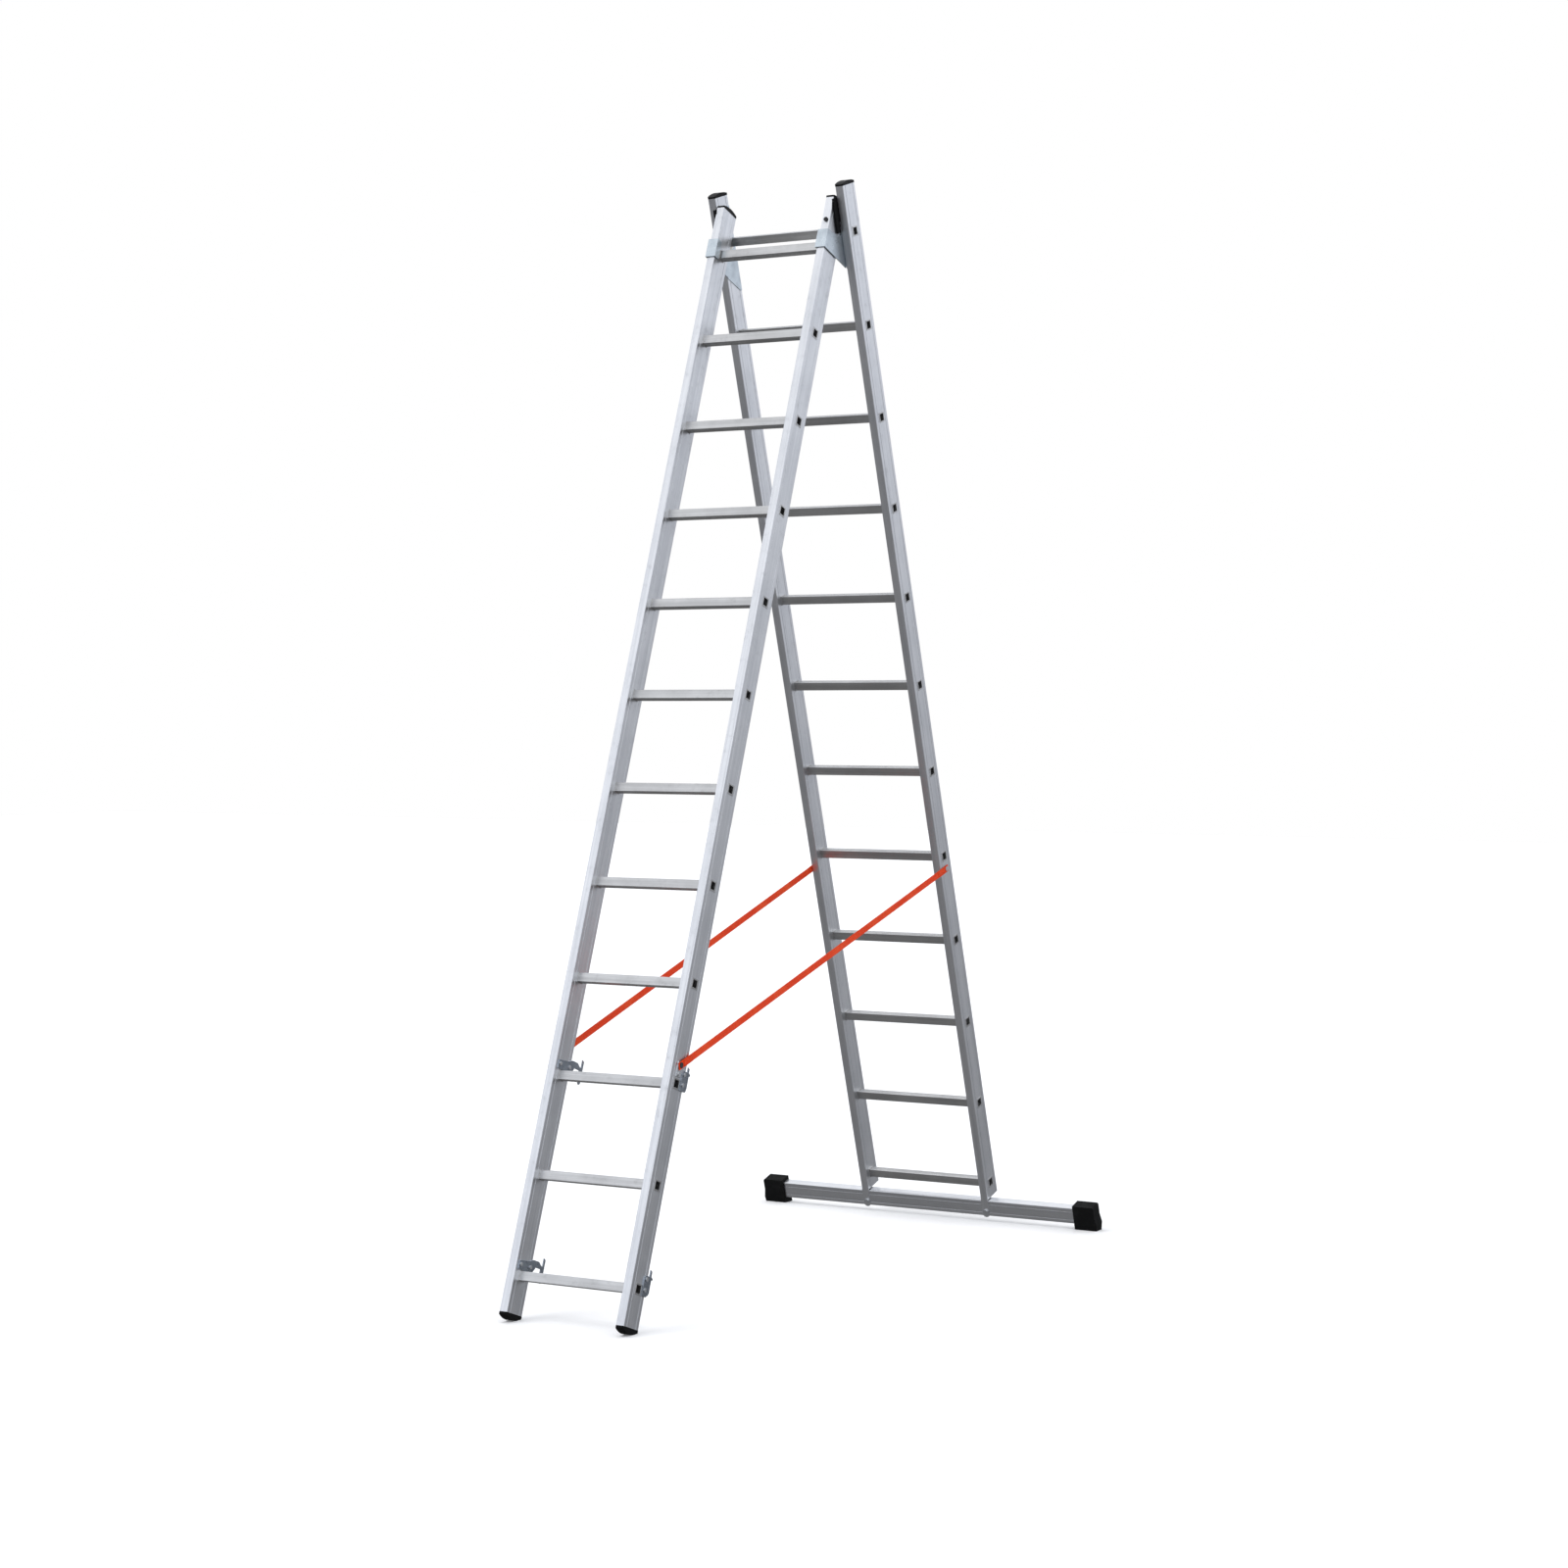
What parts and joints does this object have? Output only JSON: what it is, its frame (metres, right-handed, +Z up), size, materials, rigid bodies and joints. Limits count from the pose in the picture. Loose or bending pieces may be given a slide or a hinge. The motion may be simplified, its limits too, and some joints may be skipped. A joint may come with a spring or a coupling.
{
  "type": "extension ladder",
  "caption": "Two-section aluminium extension ladder standing open as an A-frame, with hinged guide brackets, hooks, webbing straps and a floor stabilizer bar.",
  "frame": {"origin": "middle of the bounding box on the floor, under the opened A-frame", "axes": "+X runs along the rungs to the right as seen from the front section, +Y from the front section's feet to the rear section's stabilizer bar, +Z up"},
  "size_m": [1.22, 2.1834, 3.217],
  "materials": {
    "stile_aluminium": "extruded mill finish, satin, fine lengthwise draw lines",
    "rung_aluminium": "extruded mill finish with grooved treads",
    "zinc_steel": "bright zinc plated sheet steel",
    "fastener_steel": "zinc plated",
    "dark_steel": "black coated",
    "black_plastic": "moulded, fine texture",
    "black_rubber": "moulded rubber, dull",
    "nylon": "natural nylon",
    "webbing": "plain woven orange-red webbing"
  },
  "bodies": {
    "rear_section": {"rear_stile_left": "stile_aluminium", "rear_stile_right": "stile_aluminium", "rear_rung_01": "rung_aluminium", "rear_rung_02": "rung_aluminium", "rear_rung_03": "rung_aluminium", "rear_rung_04": "rung_aluminium", "rear_rung_05": "rung_aluminium", "rear_rung_06": "rung_aluminium", "rear_rung_07": "rung_aluminium", "rear_rung_08": "rung_aluminium", "rear_rung_09": "rung_aluminium", "rear_rung_10": "rung_aluminium", "rear_rung_11": "rung_aluminium", "rear_rung_12": "rung_aluminium", "rear_top_cap_left": "black_plastic", "rear_top_cap_right": "black_plastic", "stabilizer_bar": "stile_aluminium", "stabilizer_foot_left": "black_rubber", "stabilizer_foot_right": "black_rubber", "stabilizer_bolts": "fastener_steel", "pivot_bush_left": "nylon", "pivot_bush_right": "nylon", "hinge_plate_left": "zinc_steel", "hinge_plate_right": "zinc_steel", "guide_pad_left": "black_plastic", "guide_pad_right": "black_plastic", "strap_left": "webbing", "strap_right": "webbing", "rear_strap_rivets": "fastener_steel"},
    "guide_brackets": {"guide_bracket_left": "zinc_steel", "guide_bracket_right": "zinc_steel"},
    "front_section": {"front_stile_left": "stile_aluminium", "front_stile_right": "stile_aluminium", "front_rung_01": "rung_aluminium", "front_rung_02": "rung_aluminium", "front_rung_03": "rung_aluminium", "front_rung_04": "rung_aluminium", "front_rung_05": "rung_aluminium", "front_rung_06": "rung_aluminium", "front_rung_07": "rung_aluminium", "front_rung_08": "rung_aluminium", "front_rung_09": "rung_aluminium", "front_rung_10": "rung_aluminium", "front_rung_11": "rung_aluminium", "front_rung_12": "rung_aluminium", "front_foot_left": "black_rubber", "front_foot_right": "black_rubber", "front_top_cap_left": "black_plastic", "front_top_cap_right": "black_plastic", "lower_hook_left": "zinc_steel", "lower_hook_right": "zinc_steel", "upper_hook_left": "zinc_steel", "upper_hook_right": "zinc_steel", "hook_rivets": "fastener_steel", "strap_anchors": "fastener_steel", "strap_studs": "dark_steel", "end_stop_bolt": "dark_steel"}
  },
  "joints": [
    {"name": "fold", "type": "hinge", "parent": "rear_section", "child": "guide_brackets", "pos_m": [0, 0.12266, 3.0687], "axis": [1, 0, 0], "range_deg": [0, 36], "deforming": ["strap_left", "strap_right"]},
    {"name": "extension", "type": "slide", "parent": "guide_brackets", "child": "front_section", "axis": [0, 0.3412, 0.94], "range_m": [0, 2.24]}
  ]
}
